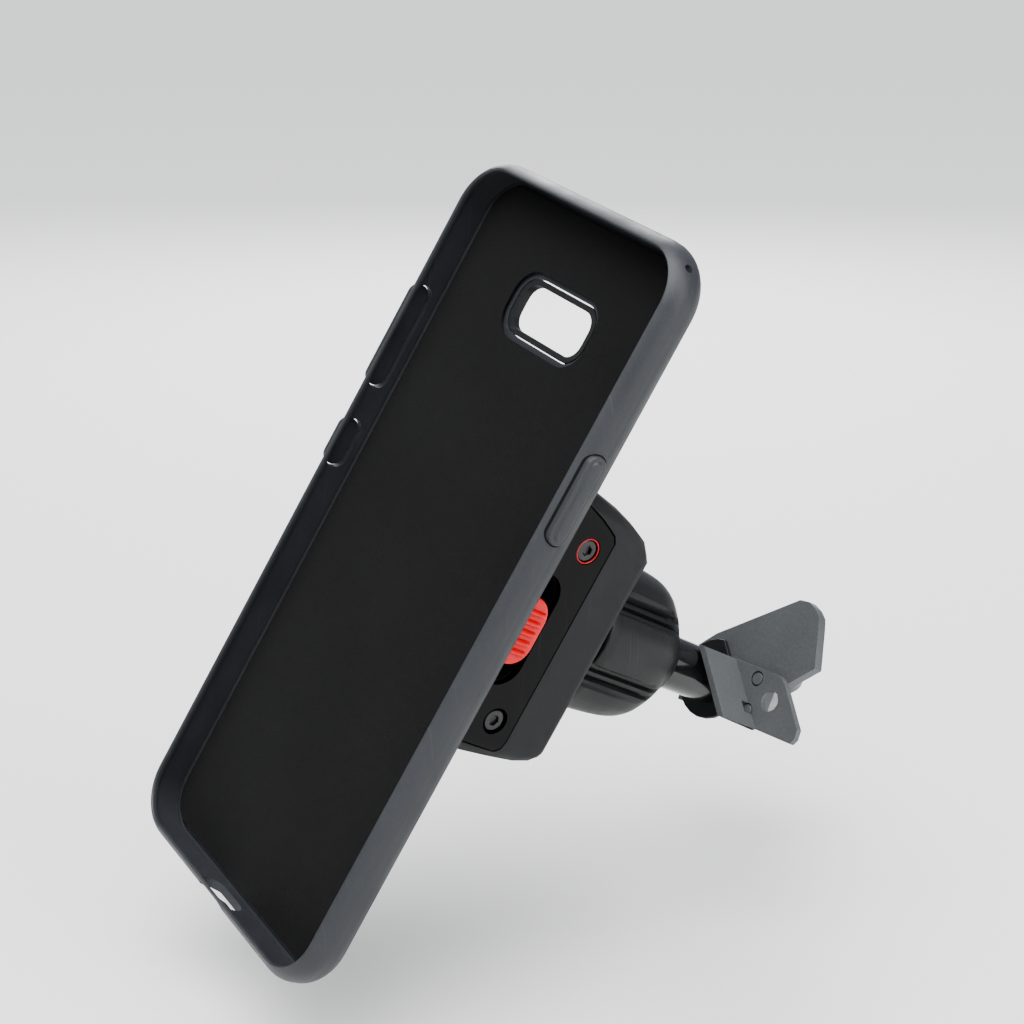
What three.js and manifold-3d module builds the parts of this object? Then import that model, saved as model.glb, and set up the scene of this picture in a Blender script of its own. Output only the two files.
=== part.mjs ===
// Motorcycle phone mount: a folded steel bracket under the mirror stem carries a ball stem,
// a lobed locking collar clamps the ball, and a quick-release cradle holds a hard phone case.
// Millimetres, +Z up along the mirror stem, +Y forwards on the bike, +X to the bike's right.
// Origin: centre of the mirror-thread hole on the underside of the bracket's base plate.
import * as THREE from 'three';
import * as BufferGeometryUtils from 'three/addons/utils/BufferGeometryUtils.js';
import Module from 'manifold-3d';

const wasm = await Module();
wasm.setup();

// ---- driving dimensions ----
const GAP = 0.3;                   // clearance between touching pieces
const TILT = 27.7;                 // the ball stem points this far above the horizontal, degrees
const ROLL = 10.6;                 // the case hangs rolled clockwise by this much, degrees
const STEM_FOOT = [8.8, -18.4, 6.7];   // centre of the stem's foot on the bracket
const SHEET = 2.5;                 // bracket plate
const LUG_SHEET = 1.5;             // side lug
const MIRROR_HOLE_R = 5.25;
const MIRROR_PAD_R = 14;

const STEM_R = 6.2;
const NECK_R = 4.3;
const STEM_SHOULDER = 15.5;        // end of the full diameter, from the foot
const BALL_R = 8.5;
const BALL_AT = 35.5;               // ball centre, from the foot
const COLLET_R = 12;
const COLLET_BORE = 8.8;
const COLLET_TIP = 31;
const COLLAR_START = 18.7;
const COLLAR_END = 54.7;
const COLLAR_R = 18;
const COLLAR_BORE = 12.4;
const LOBES = 6;
const GROOVE_AT = 41;       // angle of the first groove, in degrees

const CRADLE_BACK = 63.7;
const CRADLE_FRONT = 93.6;
const CRADLE_HALF = 27;            // half the cradle's width
const SIDE_SEAM = 19.8;            // the side cover starts here
const PANEL_BACK = 75.7;
const SLIDER = { y: 0.8, z: 86.8, length: 15, width: 9.2 };
const SLOT = { y: 1, length: 25, width: 10.2 };
const PANEL_SCREWS = [-18.6, 20.5];
const PANEL_SCREW_Z = 81;

const REACH = 104.7;               // front lip of the case, from the stem's foot
const CASE = { w: 76.7, h: 163.7, t: 10.6, r: 12, split: 8.4 };
const PHONE = { w: 72.9, h: 159.2, r: 9.6, lip: 2 };
const MOUTH = { w: 71.3, h: 157.6, r: 7.6 };
const CASE_BACK_Z = REACH - CASE.t;
const POWER_KEY = { y: 30.2, length: 19, width: 4.6 };
const VOLUME_KEY = { y: 38, length: 24, width: 4.6 };
const ASSIST_KEY = { y: 12, length: 11, width: 4.6 };
const KEY_Z = REACH - 4.2;
const FLANGE_HALF = 19;            // adapter plate's sliding flange
const ADAPTER_HALF_HEIGHT = 22;
const PLATE_SCREWS = [[-10, -15], [10, -15], [10, 15], [-10, 15]];
const COLLET_SCREWS_R = 15;

// ---- solids ----
const toSolid = (geometry) => {
  let g = geometry.clone();
  g.deleteAttribute('normal');
  g.deleteAttribute('uv');
  g = BufferGeometryUtils.mergeVertices(g, 1e-4);
  const triVerts = new Uint32Array(g.index.array);
  const vertProperties = new Float32Array(g.attributes.position.array);
  return new wasm.Manifold(new wasm.Mesh({ numProp: 3, vertProperties, triVerts }));
};

const toGeometry = (solid) => {
  const m = solid.getMesh();
  const points = new Float32Array((m.vertProperties.length / m.numProp) * 3);
  for (let i = 0; i < points.length / 3; i++) {
    for (let k = 0; k < 3; k++) points[3 * i + k] = m.vertProperties[m.numProp * i + k];
  }
  const g = new THREE.BufferGeometry();
  g.setAttribute('position', new THREE.BufferAttribute(points, 3));
  g.setIndex(new THREE.BufferAttribute(new Uint32Array(m.triVerts), 1));
  const flat = g.toNonIndexed();
  flat.computeVertexNormals();
  return flat;
};

const below = (z) => box(-100, 100, -120, 120, -50, z);
const above = (z) => box(-100, 100, -120, 120, z, 300);
const join = (...solids) => solids.reduce((a, b) => a.add(b));
const cut = (base, ...tools) => tools.reduce((a, b) => a.subtract(b), base);

const box = (x0, x1, y0, y1, z0, z1) => {
  const g = new THREE.BoxGeometry(x1 - x0, y1 - y0, z1 - z0);
  g.translate((x0 + x1) / 2, (y0 + y1) / 2, (z0 + z1) / 2);
  return toSolid(g);
};

// a solid of revolution about +Z; each point is [radius, z], from the axis back to the axis
const turned = (profile, segments = 40) => {
  const g = new THREE.LatheGeometry(profile.map(([r, z]) => new THREE.Vector2(r, z)), segments);
  g.rotateX(Math.PI / 2);
  return toSolid(g);
};

const rod = (r, z0, z1, x = 0, y = 0, segments = 24) => {
  const g = new THREE.CylinderGeometry(r, r, z1 - z0, segments);
  g.rotateX(Math.PI / 2);
  g.translate(x, y, (z0 + z1) / 2);
  return toSolid(g);
};

const tube = (rOut, rIn, z0, z1, x = 0, y = 0) => cut(
  rod(rOut, z0, z1, x, y),
  rod(rIn, z0 - 1, z1 + 1, x, y),
);

const roundedShape = (w, h, r, x = 0, y = 0) => {
  const s = new THREE.Shape();
  const [a, b] = [w / 2 - r, h / 2 - r];
  s.absarc(x + a, y + b, r, 0, Math.PI / 2);
  s.absarc(x - a, y + b, r, Math.PI / 2, Math.PI);
  s.absarc(x - a, y - b, r, Math.PI, 1.5 * Math.PI);
  s.absarc(x + a, y - b, r, 1.5 * Math.PI, 2 * Math.PI);
  return s;
};

const plate = (shape, z0, z1, curveSegments = 4) => {
  const g = new THREE.ExtrudeGeometry(shape, { depth: z1 - z0, bevelEnabled: false, curveSegments });
  g.translate(0, 0, z0);
  return toSolid(g);
};

// a plate whose rim is rounded over its whole thickness
const pebble = (w, h, r, z0, z1, edge, curveSegments = 4) => {
  const shape = roundedShape(w - 2 * edge, h - 2 * edge, r - edge);
  const g = new THREE.ExtrudeGeometry(shape, {
    depth: z1 - z0 - 2 * edge, bevelEnabled: true, bevelThickness: edge, bevelSize: edge,
    bevelSegments: 3, curveSegments,
  });
  g.translate(0, 0, z0 + edge);
  return toSolid(g);
};

// a stadium-shaped plug along +X, long in Y, standing between x0 and x1
const sidePill = (length, width, x0, x1, y, z) => {
  const g = new THREE.ExtrudeGeometry(roundedShape(width, length, width / 2 - 0.01), {
    depth: Math.abs(x1 - x0), bevelEnabled: false, curveSegments: 4,
  });
  g.rotateY(Math.PI / 2);
  g.translate(Math.min(x0, x1), y, z);
  return toSolid(g);
};

const sideRod = (r, x0, x1, y, z, segments = 20) => {
  const g = new THREE.CylinderGeometry(r, r, x1 - x0, segments);
  g.rotateZ(Math.PI / 2);
  g.translate((x0 + x1) / 2, y, z);
  return toSolid(g);
};

const material = (color, roughness, metalness = 0) => (
  new THREE.MeshStandardMaterial({ color, roughness, metalness })
);
const POWDER = material(0x3a3d40, 0.6, 0.3);
const STEEL = material(0x8d9094, 0.35, 0.9);
const GLOSS = material(0x0b0b0c, 0.15);
const SATIN = material(0x1b1c1e, 0.45);
const CAP = material(0x3c3e41, 0.5);
const RUBBER = material(0x2b2c2f, 0.75);
const RED = material(0xd31a22, 0.4);
const LINING = material(0x101013, 0.9);

const named = (name, solid, finish) => {
  const m = new THREE.Mesh(toGeometry(solid), finish);
  m.name = name;
  return m;
};

const polygon = (points) => {
  const s = new THREE.Shape();
  points.forEach(([x, y], i) => (i ? s.lineTo(x, y) : s.moveTo(x, y)));
  return s;
};

// ---- bracket, in the bike's own axes and in the stem's axes ----
const stemFrame = new THREE.Matrix4()
  .makeRotationX(THREE.MathUtils.degToRad(90 - TILT))
  .setPosition(...STEM_FOOT);
const inStemFrame = (solid) => {
  const g = toGeometry(solid);
  g.applyMatrix4(stemFrame);
  return toSolid(g);
};

const FOLD_Q = -STEM_FOOT[2] / Math.cos(THREE.MathUtils.degToRad(TILT));
const PLATE_LEFT = -9;
const PLATE_RIGHT = 16.4;
const WING = [[PLATE_RIGHT, 4.7], [20.5, 4.7], [27, 10.8], [23.6, 20], [22.6, 22.2], [20.8, 23.6], [18.4, 24.6],
  [15.6, 24.4], [-4.9, 10.3], [PLATE_LEFT, 6.3]];

function bracket() {
  const upright = plate(polygon([[PLATE_LEFT, FOLD_Q], [PLATE_RIGHT, FOLD_Q], ...WING]), -SHEET, 0);
  const lean = inStemFrame(upright);
  const tail = inStemFrame(box(PLATE_LEFT, PLATE_RIGHT, FOLD_Q - 8, FOLD_Q + 0.5, -SHEET, 0));
  // the base starts just behind the upright's leaning front face
  const foldY = STEM_FOOT[1] + FOLD_Q * Math.sin(THREE.MathUtils.degToRad(TILT)) + 1.5;
  const x0 = STEM_FOOT[0] + PLATE_LEFT;
  const x1 = STEM_FOOT[0] + PLATE_RIGHT;
  const base = new THREE.Shape();
  base.moveTo(x0, foldY);
  base.lineTo(x1, foldY);
  base.lineTo(x1, foldY + 9);
  base.lineTo(MIRROR_PAD_R, -4);
  base.absarc(0, 0, MIRROR_PAD_R, 0, Math.PI);
  base.lineTo(-MIRROR_PAD_R, -6);
  base.lineTo(x0, foldY + 5);
  const foot = cut(plate(base, 0, SHEET, 18), rod(MIRROR_HOLE_R, -1, SHEET + 1, 0, 0, 32));
  const folded = cut(join(lean, tail), box(-60, 60, -60, 60, -40, 0));
  const boltHole = inStemFrame(rod(3.3, -SHEET - 2, 2));
  const lugHoles = LUG_RIVETS.map(([x, y]) => inStemFrame(rod(1.8, -SHEET - 2, 2, x, y, 16)));
  const boltRelief = inStemFrame(rod(5.7, -20, -SHEET));
  return cut(join(folded, foot), boltHole, boltRelief, ...lugHoles);
}

// The lug's folded side lies along a line that crosses the plate at 45 degrees.
const LUG_OUTSIDE = 8.2;           // distance of the lug's outer face from the stem's axis
const LUG_DEPTH = 13;
const LUG_TOP = 6.4;
const LUG_BOTTOM = -7;
const LUG_RIVETS = [[13.6, 3.9], [14, -3.8]];
const alongLug = (normal, q) => [Math.SQRT2 * normal - q, q];

function stopLug() {
  const face = plate(polygon([
    alongLug(LUG_OUTSIDE - LUG_SHEET, LUG_BOTTOM),
    [29.6, LUG_BOTTOM], [30.4, -5.6], [30.2, -3.3], [22.3, 4.8], [20.6, 6.1],
    [19.4, LUG_TOP], alongLug(LUG_OUTSIDE - LUG_SHEET, LUG_TOP),
  ]), GAP, GAP + LUG_SHEET);
  const side = plate(polygon([
    alongLug(LUG_OUTSIDE - LUG_SHEET, LUG_BOTTOM), alongLug(LUG_OUTSIDE, LUG_BOTTOM),
    alongLug(LUG_OUTSIDE, LUG_TOP), alongLug(LUG_OUTSIDE - LUG_SHEET, LUG_TOP),
  ]), GAP, LUG_DEPTH);
  const rivetHoles = LUG_RIVETS.map(([x, y]) => rod(1.8, -2, 4, x, y, 16));
  return cut(join(face, side), rod(2.4, -2, 4, 19.6, 0.2, 20), ...rivetHoles);
}

// flush rivets, ground off level with both sheets
const lugRivet = (x, y) => rod(1.5, -SHEET + 0.1, GAP + LUG_SHEET - 0.05, x, y, 16);

function footWasher() {
  const disc = tube(9.6, 3.4, GAP, GAP + 1.2);
  const flat = box(LUG_OUTSIDE - LUG_SHEET - GAP, 20, -20, 20, -1, 4);
  return cut(disc, flat.rotate([0, 0, 45]));
}

const STEM_END = GAP * 2 + 1.2;    // the stem stands on the washer
const THREAD_DEPTH = 10;
const ballStem = () => {
  const profile = [[0, STEM_END + THREAD_DEPTH], [3, STEM_END + THREAD_DEPTH - 1.4], [3, STEM_END],
    [STEM_R - 0.6, STEM_END], [STEM_R, STEM_END + 0.6], [STEM_R, STEM_SHOULDER - 1.2],
    [STEM_R - 1, STEM_SHOULDER], [NECK_R, STEM_SHOULDER + 0.4]];
  const start = Math.asin(NECK_R / BALL_R);
  const steps = 10;
  for (let i = 0; i <= steps; i++) {
    const a = start + (Math.PI - start) * (i / steps);
    profile.push([i === steps ? 0 : BALL_R * Math.sin(a), BALL_AT - BALL_R * Math.cos(a)]);
  }
  return turned(profile, 28);
};

const stemBolt = () => {
  const head = rod(4.9, -SHEET - 5.2, -SHEET - 1.9);
  const shank = rod(2.7, -SHEET - 2.2, STEM_END + THREAD_DEPTH - 2.5);
  const socket = new THREE.CylinderGeometry(2.9, 2.9, 3, 6);
  socket.rotateX(Math.PI / 2);
  socket.translate(0, 0, -SHEET - 4.6);
  return cut(join(head, shank), toSolid(socket));
};

const lockWasher = () => {
  const ring = tube(4.9, 3.3, -SHEET - 1.6, -SHEET - GAP);
  const split = new THREE.BoxGeometry(0.8, 4, 4);
  split.rotateY(0.35);
  split.translate(0, 4.2, -SHEET - 0.9);
  return cut(ring, toSolid(split));
};

// ---- ball clamp ----
const ballRecess = (r) => {
  const g = new THREE.SphereGeometry(r, 24, 16);
  g.translate(0, 0, BALL_AT);
  return toSolid(g);
};

const SEAT_FLOOR = 47.8;
const CRADLE_WALL = 6.3;           // thickness of the cradle's back wall
function collet() {
  const outside = turned([[0, COLLET_TIP], [9.9, COLLET_TIP], [COLLET_R, 43.5],
    [COLLET_R, CRADLE_BACK + CRADLE_WALL + GAP], [17.4, CRADLE_BACK + CRADLE_WALL + GAP],
    [17.4, CRADLE_BACK + CRADLE_WALL + 3], [0, CRADLE_BACK + CRADLE_WALL + 3]], 28);
  const bore = rod(COLLET_BORE, BALL_AT, SEAT_FLOOR, 0, 0, 24);
  const slots = [0, 90].map((a) => box(-20, 20, -0.8, 0.8, 20, 52).rotate([0, 0, a + 22]));
  const screws = [0, 1, 2, 3].map((i) => rod(1.9, 60, 76, ...onCircle(i), 12));
  return cut(outside, ballRecess(COLLET_BORE), bore, ...slots, ...screws);
}

function onCircle(i) {
  const a = (i + 0.5) * Math.PI / 2;
  return [COLLET_SCREWS_R * Math.cos(a), COLLET_SCREWS_R * Math.sin(a)];
}

const colletScrew = (x, y) => join(
  rod(3, CRADLE_BACK + CRADLE_WALL + 3.2, CRADLE_BACK + CRADLE_WALL + 5.2, x, y, 18),
  rod(1.6, CRADLE_BACK + 0.6, CRADLE_BACK + CRADLE_WALL + 4, x, y, 14),
);

const ballSeat = () => cut(
  turned([[0, 40.5], [8, 40.5], [8.5, 41], [8.5, SEAT_FLOOR - GAP], [0, SEAT_FLOOR - GAP]], 28),
  ballRecess(BALL_R + GAP),
);

const compressionRing = () => turned([[10.15, 30.4], [12.1, 30.4], [12.1, 36.5], [11.1, 36.5],
  [10.15, 30.9], [10.15, 30.4]], 32);

// A cone round the mouth opens into six finger lobes with narrow stepped grooves between them.
const COLLAR_SIDE = [[9.7, COLLAR_START], [10.8, 21.7], [12.1, 25], [13.7, 28.7], [15.2, 31],
  [16.7, 33.7], [17.4, 36], [17.8, 40], [COLLAR_R, 46], [COLLAR_R, 52], [17.5, COLLAR_END]];
function lockingCollar() {
  const body = turned([[0, COLLAR_START], ...COLLAR_SIDE, [0, COLLAR_END]], 42);
  const grooves = [];
  for (let i = 0; i < LOBES; i++) {
    const a = i * 360 / LOBES + GROOVE_AT;
    grooves.push(box(COLLAR_R - 2.1, COLLAR_R + 4, -1.7, 1.7, 20, 60).rotate([0, 0, a]));
    grooves.push(box(COLLAR_R - 1, COLLAR_R + 4, -3.2, 3.2, 20, 60).rotate([0, 0, a]));
  }
  const bore = rod(COLLAR_BORE, 29, 60, 0, 0, 28);
  const mouth = turned([[0, 15], [9.3, 15], [9, COLLAR_START], [8.4, 32], [0, 32]], 28);
  const relief = rod(14.2, 51.7, 60, 0, 0, 28);
  return cut(body, ...grooves, bore, mouth, relief);
}

// ---- quick-release cradle ----
const outline = [[32.2, CRADLE_FRONT], [32.2, 87], [31.4, 81.5], [30.2, 75.2], [28.6, 69.6], [27.2, 66],
  [25, CRADLE_BACK], [-24, CRADLE_BACK], [-26, 65], [-27, 69], [-27.6, 76], [-28, 83], [-28, CRADLE_FRONT]];

// The drawing's axes are the cradle's height and depth, and its thickness is the cradle's width.
// A slope leans the outline inwards, up or down, past an anchor on one side.
const profile = (points, x0, x1, slope = 0, anchor = 0) => {
  const g = new THREE.ExtrudeGeometry(polygon(points), { depth: x1 - x0, bevelEnabled: false });
  g.applyMatrix4(new THREE.Matrix4().set(
    0, 0, 1, x0, 1, 0, slope, slope * (x0 - anchor), 0, 1, 0, 0, 0, 0, 0, 1,
  ));
  return toSolid(g);
};

// the long corners are rounded over in three flats, each leaning more than the last
const ROUNDING = [[21.5, 0.27], [23.5, 1], [25.5, 3.7]];
function roundedCorners(side) {
  const flats = [];
  for (const up of [1, -1]) {
    const open = outline.map(([y, z]) => [Math.sign(y) === up ? y : y - up * 400, z]);
    for (const [anchor, lean] of ROUNDING) {
      flats.push(profile(open, -30, 30, -up * side * lean, side * anchor));
    }
  }
  return flats.reduce((a, b) => a.intersect(b));
}

// rounds the cradle's back corners, seen from above
const planOutline = () => {
  const g = new THREE.ExtrudeGeometry(polygon([[-CRADLE_HALF, 100], [-CRADLE_HALF, 66.2], [-26.3, 64.5],
    [-24.8, CRADLE_BACK - 1], [24.8, CRADLE_BACK - 1], [26.3, 64.5], [CRADLE_HALF, 66.2],
    [CRADLE_HALF, 100]]), { depth: 80, bevelEnabled: false });
  g.rotateX(Math.PI / 2);
  g.translate(0, 40, 0);
  return toSolid(g);
};
const cradleBlock = (x0, x1) => {
  const plain = profile(outline, x0, x1).intersect(planOutline());
  return plain.intersect(roundedCorners(x1 > 20 ? 1 : -1));
};

const FRONT_SPLIT = 89;            // the front rail plate starts here
const MECHANISM = { x: 18.2, y0: -21, y1: 21 };
function cradleBody() {
  const shell = cradleBlock(-CRADLE_HALF, SIDE_SEAM).intersect(below(FRONT_SPLIT - GAP));
  const room = join(
    box(-21, MECHANISM.x, -17.6, 18.6, CRADLE_BACK + CRADLE_WALL, 120),
    box(-21, MECHANISM.x, MECHANISM.y0, MECHANISM.y1, 79, 120),
  );
  const throat = rod(COLLET_R + GAP, 40, 80, 0, 0, 32);
  const screws = [0, 1, 2, 3].map((i) => rod(1.9, CRADLE_BACK + 0.4, 80, ...onCircle(i), 16));
  const sliderWay = box(10, 40, SLOT.y - 6, SLOT.y + 9.5, SLIDER.z - 2.4, SLIDER.z + 2.3);
  const covers = COVER_SCREWS.map(([x, y]) => rod(1.5, 78, 92, x, y, 14));
  return cut(shell, room, throat, ...screws, sliderWay, ...covers);
}

// neck ring behind the cradle, round the collet
const neckRing = () => turned([[COLLET_R + GAP, 56.2], [15.6, 56.2], [16.4, 57], [16.4, 63.4],
  [COLLET_R + GAP, 63.4], [COLLET_R + GAP, 56.2]], 32);

const COVER_SCREWS = [[-23.6, -22.6], [-23.6, 23.6]];
function frontRail() {
  const slab = cradleBlock(-CRADLE_HALF, SIDE_SEAM).intersect(above(FRONT_SPLIT));
  const channel = box(-FLANGE_HALF - GAP, FLANGE_HALF + GAP, -ADAPTER_HALF_HEIGHT - GAP, 60, 89.9, 92.2);
  const mouth = box(-15.4, 15.4, -ADAPTER_HALF_HEIGHT - GAP, 60, 91, 120);
  const tongueWindow = box(-5.4, 5.4, -17.4, -6.6, 80, 100);
  const covers = COVER_SCREWS.map(([x, y]) => rod(1.5, 80, 96, x, y, 14));
  const heads = COVER_SCREWS.map(([x, y]) => rod(2.6, 92.4, 96, x, y, 18));
  return cut(slab, channel, mouth, tongueWindow, ...covers, ...heads);
}

const coverScrew = (x, y) => join(rod(2.4, 92.5, 93.4, x, y, 18), rod(1.25, 79, 93, x, y, 14));

const PANEL_IN = 25.2;
const PANEL_OUTLINE = [[29.8, CRADLE_FRONT - 0.5], [29.5, 88], [28.5, 84.7], [27.3, 81.2], [26.2, 78.7],
  [25.2, 76.7], [23.8, PANEL_BACK], [-23.8, PANEL_BACK], [-24.9, 77], [-24.6, 87], [-24.4, CRADLE_FRONT - 0.5]];
const panelSlot = () => sidePill(SLOT.length, SLOT.width, 10, 40, SLOT.y, SLIDER.z);

function sideCover() {
  const grown = PANEL_OUTLINE.map(([y, z]) => [y + Math.sign(y) * GAP, z + (z > 90 ? 20 : -GAP)]);
  const holes = PANEL_SCREWS.map((y) => sideRod(1.4, 21.4, 40, y, PANEL_SCREW_Z, 16));
  return cut(cradleBlock(SIDE_SEAM + GAP, CRADLE_HALF), profile(grown, PANEL_IN, 40), panelSlot(), ...holes);
}

function sidePanel() {
  const slab = cradleBlock(PANEL_IN + GAP, CRADLE_HALF).intersect(profile(PANEL_OUTLINE, 20, 40));
  const holes = PANEL_SCREWS.map((y) => sideRod(2.9, 10, 40, y, PANEL_SCREW_Z, 24));
  return cut(slab, panelSlot(), ...holes);
}

const panelScrew = (y) => {
  const head = sideRod(2.3, 25.5, 26.7, y, PANEL_SCREW_Z, 20);
  const shank = sideRod(1.1, 21.8, 26, y, PANEL_SCREW_Z, 14);
  const recess = new THREE.CylinderGeometry(1.15, 1.15, 2, 6);
  recess.rotateZ(Math.PI / 2);
  recess.translate(27.1, y, PANEL_SCREW_Z);
  return cut(join(head, shank), toSolid(recess));
};

const sealRing = (y) => cut(
  sideRod(2.8, 26.2, 27.3, y, PANEL_SCREW_Z, 28),
  sideRod(2.4, 20, 40, y, PANEL_SCREW_Z, 28),
);

const RIBS = 5;
function releaseSlider() {
  const cap = sidePill(SLIDER.length, SLIDER.width, 26.2, 28.2, SLIDER.y, SLIDER.z);
  const pad = sidePill(SLIDER.length - 1.6, SLIDER.width - 1.6, 26, 28.8, SLIDER.y, SLIDER.z);
  const body = join(cap, pad, box(20.2, 27, SLIDER.y - 4.5, SLIDER.y + 4.5, SLIDER.z - 4.4, SLIDER.z + 4.4),
    box(9, 21, SLIDER.y - 4, SLIDER.y + 4, SLIDER.z - 2, SLIDER.z + 1.9));
  const grooves = [];
  for (let i = 0; i < RIBS; i++) {
    const y = SLIDER.y + (i - (RIBS - 1) / 2) * 2.2;
    grooves.push(box(28.1, 30, y - 0.45, y + 0.45, SLIDER.z - 3.1, SLIDER.z + 3.1));
  }
  return cut(body, ...grooves);
}

const TONGUE_Y = -12;
const latchTongue = () => {
  const nose = plate(polygon([[-5, -5], [5, -5], [5, 5], [-5, 5]]), 84, 91.2).translate([0, TONGUE_Y, 0]);
  const ramp = new THREE.BoxGeometry(14, 14, 6);
  ramp.rotateX(-0.45);
  ramp.translate(0, TONGUE_Y + 5.6, 93.4);
  const foot = box(-8, 8, TONGUE_Y - 6.5, TONGUE_Y + 6.5, 82.6, 84.6);
  return join(cut(nose, toSolid(ramp)), foot);
};

const SPRING_WIRE = 0.5;
function coil(radius, turns, from, to) {
  class Helix extends THREE.Curve {
    getPoint(t, target = new THREE.Vector3()) {
      const a = 2 * Math.PI * turns * t;
      return target.set(radius * Math.cos(a), radius * Math.sin(a), from + (to - from) * t);
    }
  }
  const section = new THREE.Shape();
  section.absarc(0, 0, SPRING_WIRE, 0, 2 * Math.PI);
  return toSolid(new THREE.ExtrudeGeometry(section, {
    steps: turns * 9, extrudePath: new Helix(), bevelEnabled: false, curveSegments: 2,
  }));
}
const latchSpring = () => coil(3.2, 4, 73.9, 81.9).translate([0, TONGUE_Y, 0]);
const sliderSpring = () => coil(1.7, 5, 0, 12.4).rotate([-90, 0, 0]).translate([13, SLIDER.y + 5, SLIDER.z]);

// ---- phone case ----
const EDGE = 4.9;
const caseBlank = () => pebble(CASE.w, CASE.h, CASE.r, CASE_BACK_Z, REACH, EDGE);
const SPLIT_Z = REACH - CASE.split;
const FLOOR_Z = CASE_BACK_Z + 1.4;
const CAMERA = { w: 27, h: 13, y: 57 };

const keySlot = (key, side) => sidePill(key.length + 2 * GAP, key.width + 2 * GAP,
  side * 30, side * 45, key.y, KEY_Z);

function caseBumper() {
  const phone = plate(roundedShape(PHONE.w, PHONE.h, PHONE.r), 0, REACH - PHONE.lip);
  const mouth = plate(roundedShape(MOUTH.w, MOUTH.h, MOUTH.r), 0, REACH + 5);
  const port = (x, w, h) => {
    const g = new THREE.ExtrudeGeometry(roundedShape(w, h, h / 2 - 0.01), {
      depth: 12, bevelEnabled: false, curveSegments: 6,
    });
    g.rotateX(Math.PI / 2);
    g.translate(x, -CASE.h / 2 + 9, KEY_Z);
    return toSolid(g);
  };
  const cornerHole = rod(0.9, -12, 12, 0, 0, 16).rotate([0, 90, 0]).rotate([0, 0, 45])
    .translate([36.2, 79.6, KEY_Z]);
  return cut(caseBlank().intersect(above(SPLIT_Z)), phone, mouth,
    keySlot(POWER_KEY, 1), keySlot(VOLUME_KEY, -1), keySlot(ASSIST_KEY, -1),
    port(0, 13, 6.2), port(-19, 7.4, 6.2), port(17.5, 13, 3.4), cornerHole);
}

function caseBack() {
  const shell = caseBlank().intersect(below(SPLIT_Z - GAP));
  const tray = plate(roundedShape(MOUTH.w, MOUTH.h, MOUTH.r), FLOOR_Z, 200);
  const camera = plate(roundedShape(CAMERA.w, CAMERA.h, 5, 0, CAMERA.y), 0, 200);
  const screws = PLATE_SCREWS.map(([x, y]) => rod(1.5, 0, 200, x, y, 14));
  return cut(shell, tray, camera, ...screws);
}

const caseLiner = () => cut(
  plate(roundedShape(MOUTH.w - 1, MOUTH.h - 1, MOUTH.r - 0.5), FLOOR_Z + 0.5, FLOOR_Z + 0.9),
  plate(roundedShape(CAMERA.w + 2, CAMERA.h + 2, 6, 0, CAMERA.y), 0, 200),
);

const cameraBezel = () => cut(
  plate(roundedShape(CAMERA.w - 2 * GAP, CAMERA.h - 2 * GAP, 4.7, 0, CAMERA.y), CASE_BACK_Z - 0.5, FLOOR_Z),
  plate(roundedShape(CAMERA.w - 3, CAMERA.h - 3, 3.5, 0, CAMERA.y), 0, 200),
);

const key = (spec, side) => join(
  sidePill(spec.length, spec.width, side * 37.6, side * 38.9, spec.y, KEY_Z),
  sidePill(spec.length - 2.4, spec.width - 2.4, side * 38.5, side * 39.4, spec.y, KEY_Z),
);

function adapterPlate() {
  const pad = plate(roundedShape(30, 50, 5, 0, 3), 92, CASE_BACK_Z - GAP);
  const flange = plate(roundedShape(2 * FLANGE_HALF, 2 * ADAPTER_HALF_HEIGHT, 2), 90.2, 92);
  const pocket = box(-6, 6, TONGUE_Y - 5.6, TONGUE_Y + 5.6, 85, 91.5);
  const screws = PLATE_SCREWS.map(([x, y]) => rod(1.3, 91.3, 200, x, y, 14));
  return cut(join(pad, flange), pocket, ...screws);
}

const plateScrew = (x, y) => join(
  rod(2.5, FLOOR_Z + 0.05, FLOOR_Z + 0.4, x, y, 16),
  rod(1, 91.8, FLOOR_Z + 0.2, x, y, 12),
);

// ---- assembly ----
const mount = new THREE.Group();
mount.add(named('bracket', bracket(), POWDER));

const stemAxes = new THREE.Group();
stemAxes.position.set(...STEM_FOOT);
stemAxes.rotation.x = THREE.MathUtils.degToRad(90 - TILT);
mount.add(stemAxes);
stemAxes.add(
  named('stop_lug', stopLug(), POWDER),
  named('foot_washer', footWasher(), POWDER),
  named('stem_bolt', stemBolt(), STEEL),
  named('lock_washer', lockWasher(), STEEL),
  named('ball_stem', ballStem(), GLOSS),
  named('ball_seat', ballSeat(), SATIN),
);
LUG_RIVETS.forEach(([x, y], i) => stemAxes.add(named(`lug_rivet_${i + 1}`, lugRivet(x, y), POWDER)));

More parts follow.
